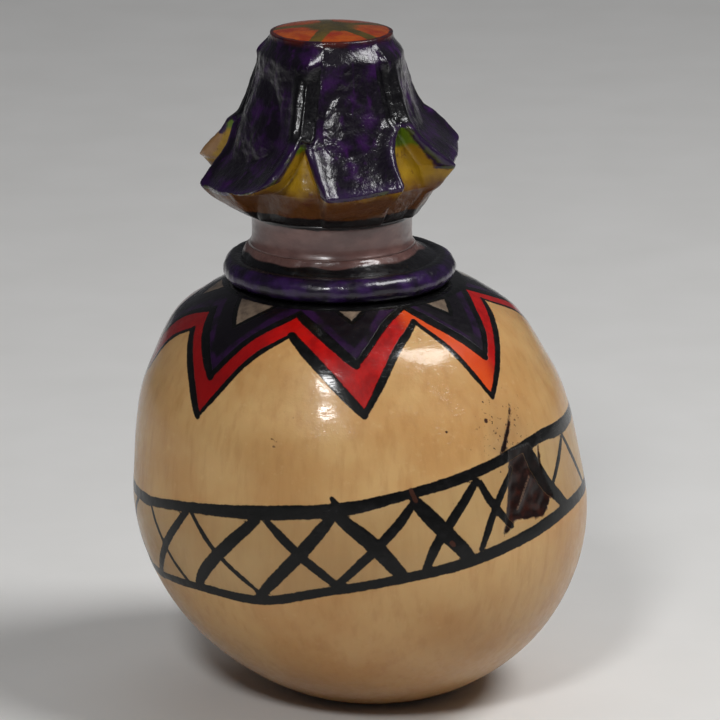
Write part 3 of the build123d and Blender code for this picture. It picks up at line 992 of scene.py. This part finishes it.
def flower_material():
    """Deep violet petals, an ochre calyx and orange sectors on the disc."""
    p = Paint("flower_petal_paint")
    level, painted, valley = p.field("level"), p.field("painted"), p.field("valley")
    streak = p.noise(0.9, 4, (1, 1, 4))
    blotch = p.noise(2.6, 4)
    violet = p.mix(p.step(blotch, 0.46, 0.70), (12, 4, 18), (44, 8, 62))
    violet = p.mix(p.step(streak, 0.54, 0.8, 0, 0.6), violet, (66, 16, 88))
    # painted sheen: a paler violet along the petals' edges, lower down, where the rolled lips
    # catch the light
    lip_sheen = p.times(p.step(painted, 1.4, 0.5), p.step(level, 12, 6, 0, 0.8))
    violet = p.mix(lip_sheen, violet, (38, 14, 58))
    # painted shade: near-black in the valleys between the petals
    violet = p.mix(p.step(valley, 0.2, 0.8), violet, (6, 4, 8))

    ochre = p.mix(p.step(blotch, 0.3, 0.7), (138, 104, 14), (168, 132, 20))
    brown = p.mix(streak, (70, 36, 4), (98, 56, 8))
    core = p.mix(p.step(p.frayed(level, 2.5, 1.2), 5.0, 3.0), ochre, brown)
    core = p.mix(p.step(p.noise(1.4, 4), 0.57, 0.67, 0, 0.7), core, (78, 34, 12))
    core = p.mix(p.step(p.frayed(level, 1.2, 0.4), 7.5, 8.1), core, (84, 110, 14))
    line = p.step(p.frayed(level, 2.0, 0.3), 1.05, 0.85)
    core = p.mix(line, core, (8, 7, 8))
    edge = p.frayed(painted, 0.8, 0.10)
    stain = p.times(p.step(p.noise(1.8, 3), 0.50, 0.60), p.step(edge, 0.55, 0.2))
    petals = p.mix(stain, violet, (52, 58, 14))
    wood = p.mix(streak, (128, 92, 54), (158, 120, 76))
    petals = p.mix(p.step(p.frayed(p.field("bare"), 1.5, 0.4), -0.1, 0.1), petals, wood)
    covered = p.step(edge, -0.04, 0.08)
    colour = p.mix(covered, core, petals)

    sector = p.mix(p.step(p.noise(1.6, 4), 0.35, 0.65), (150, 54, 6), (170, 76, 10))
    sector = p.mix(p.step(p.noise(2.4, 3), 0.48, 0.68, 0, 0.8), sector, (142, 30, 6))
    olive = p.mix(p.step(blotch, 0.35, 0.7), (64, 54, 16), (98, 78, 22))
    hub = p.step(p.frayed(level, 0.9, 0.04), HUB_LEVEL - 0.03, HUB_LEVEL + 0.03)
    ray = p.step(p.frayed(p.field("ray"), 0.8, 0.12), 0.06, -0.06)
    top = p.mix(p.math("MAXIMUM", ray, hub), sector, olive)
    rim = p.mix(p.step(blotch, 0.45, 0.6), (84, 22, 8), (36, 12, 20))
    disc = p.frayed(p.field("disc"), 1.2, 0.16)
    colour = p.mix(p.step(level, 17.2, 17.8, 0, 0.7), colour, rim)
    colour = p.mix(p.step(disc, -0.06, 0.08), colour, top)
    p.set(Base_Color=colour)

    orange_peel = p.noise(0.28, 3)
    pitted = p.relief(orange_peel, 0.04, p.relief(streak, 0.06, p.relief(blotch, 0.12)))
    p.set(Normal=pitted, Roughness=p.step(orange_peel, 0.3, 0.8, 0.35, 0.55))
    p.set(Specular_IOR_Level=p.step(covered, 0.0, 1.0, 0.35, 0.15), Coat_IOR=1.4)
    p.set(Coat_Weight=p.step(covered, 0, 1, 0.3, 1.0))
    p.set(Coat_Roughness=p.step(p.noise(1.5, 3), 0.3, 0.8, 0.08, 0.2))
    p.set(Coat_Normal=p.relief(orange_peel, 0.045, p.relief(p.noise(1.1, 3), 0.05)))
    return p.material


def pellet_material():
    """Hard dark-brown seeds with paler flecks."""
    p = Paint("pellet_brown_seed")
    fleck = p.noise(0.7, 4)
    brown = p.mix(p.step(p.noise(1.8, 3), 0.35, 0.7), (66, 36, 20), (108, 66, 36))
    p.set(Base_Color=p.mix(p.step(fleck, 0.58, 0.7), brown, (150, 112, 70)))
    p.set(Roughness=p.step(fleck, 0.3, 0.8, 0.35, 0.6))
    p.set(Normal=p.relief(p.noise(0.4, 4), 0.05))
    return p.material


def floor_material():
    """Plain pale studio card."""
    p = Paint("studio_card")
    tone = p.noise(14, 4)
    p.set(Base_Color=p.mix(tone, (228, 227, 224), (234, 233, 231)))
    p.set(Roughness=p.step(tone, 0.2, 0.8, 0.75, 0.9))
    return p.material


# ==== studio =============================================================================

AIM = Vector((0, 0, 34.0)) * MM
CAMERA_DISTANCE = 0.5
CAMERA_ELEVATION = 15
CAMERA_LENS = 250
CAMERA_SENSOR = 36
FLOOR_HALF_SIDE = 3.0
# Each lamp's direction from the aim, its distance and size in metres, its power in watts,
# and whether glossy paint mirrors it.
LAMPS = {
    "key_lamp": ((-0.20, -0.755, 0.624), 0.5, 0.085, 0.85, True),
    "soft_lamp": ((0.56, -0.14, 0.82), 0.5, 0.20, 1.6, True),
    "room_above": ((0, 0.5, 1), 1.4, 1.2, 2.4, False),
}
AIR_COLOUR = (0.9, 0.92, 1.0, 1)
AIR_STRENGTH = 0.06


def build_lamp(name, direction, distance, size, power, mirrored):
    """Round soft lamp that faces the aim."""
    direction = Vector(direction)
    data = bpy.data.lights.new(name, "AREA")
    data.shape = "DISK"
    data.size = size
    data.energy = power
    lamp = bpy.data.objects.new(name, data)
    lamp.location = AIM + direction.normalized() * distance
    lamp.rotation_euler = direction.to_track_quat("Z", "Y").to_euler()
    lamp.visible_glossy = mirrored
    bpy.context.scene.collection.objects.link(lamp)


def build_floor():
    """Pale card that the rattle stands on."""
    side = FLOOR_HALF_SIDE
    mesh = bpy.data.meshes.new("studio_floor")
    corners = [(-side, -side, 0), (side, -side, 0), (side, side, 0), (-side, side, 0)]
    mesh.from_pydata(corners, [], [(0, 1, 2, 3)])
    floor = bpy.data.objects.new("studio_floor", mesh)
    floor.location.z = CAD_BOX[0].z
    mesh.materials.append(floor_material())
    bpy.context.scene.collection.objects.link(floor)


def build_camera():
    """Camera at the photograph's viewing angle."""
    data = bpy.data.cameras.new("photo_camera")
    data.lens = CAMERA_LENS
    data.sensor_width = CAMERA_SENSOR
    camera = bpy.data.objects.new("photo_camera", data)
    back = Vector((0, -cos(radians(CAMERA_ELEVATION)), sin(radians(CAMERA_ELEVATION))))
    camera.location = AIM + back * CAMERA_DISTANCE
    camera.rotation_euler = back.to_track_quat("Z", "Y").to_euler()
    bpy.context.scene.collection.objects.link(camera)
    bpy.context.scene.camera = camera


def build_light():
    """The three lamps, and a little light from all round."""
    for name, settings in LAMPS.items():
        build_lamp(name, *settings)
    world = bpy.data.worlds.new("studio_air")
    world.use_nodes = True
    background = world.node_tree.nodes["Background"]
    background.inputs["Color"].default_value = AIR_COLOUR
    background.inputs["Strength"].default_value = AIR_STRENGTH
    bpy.context.scene.world = world


# ==== the scene ==========================================================================

def build_rattle():
    """Every piece, with its material, body and CAD node."""
    place(nut_shell(), nut_material(), "nut_ivory", "rattle", "nut_shell")
    place(collar_ring(), collar_material(), "collar_paint", "rattle", "collar_ring")
    place(neck_stem(), neck_material(), "neck_paint", "rattle", "neck_stem")
    place(flower_head(), flower_material(), "flower_paint", "rattle", "flower_head")
    seeds = pellet_material()
    pellets = sorted(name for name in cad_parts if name.startswith("pellet_"))
    for number, node in enumerate(pellets):
        place(seed_pellet(node, 20 + number), seeds, "pellet_seed", node, node)


build_rattle()
build_floor()
build_light()
build_camera()
bpy.context.scene.view_settings.view_transform = "Standard"
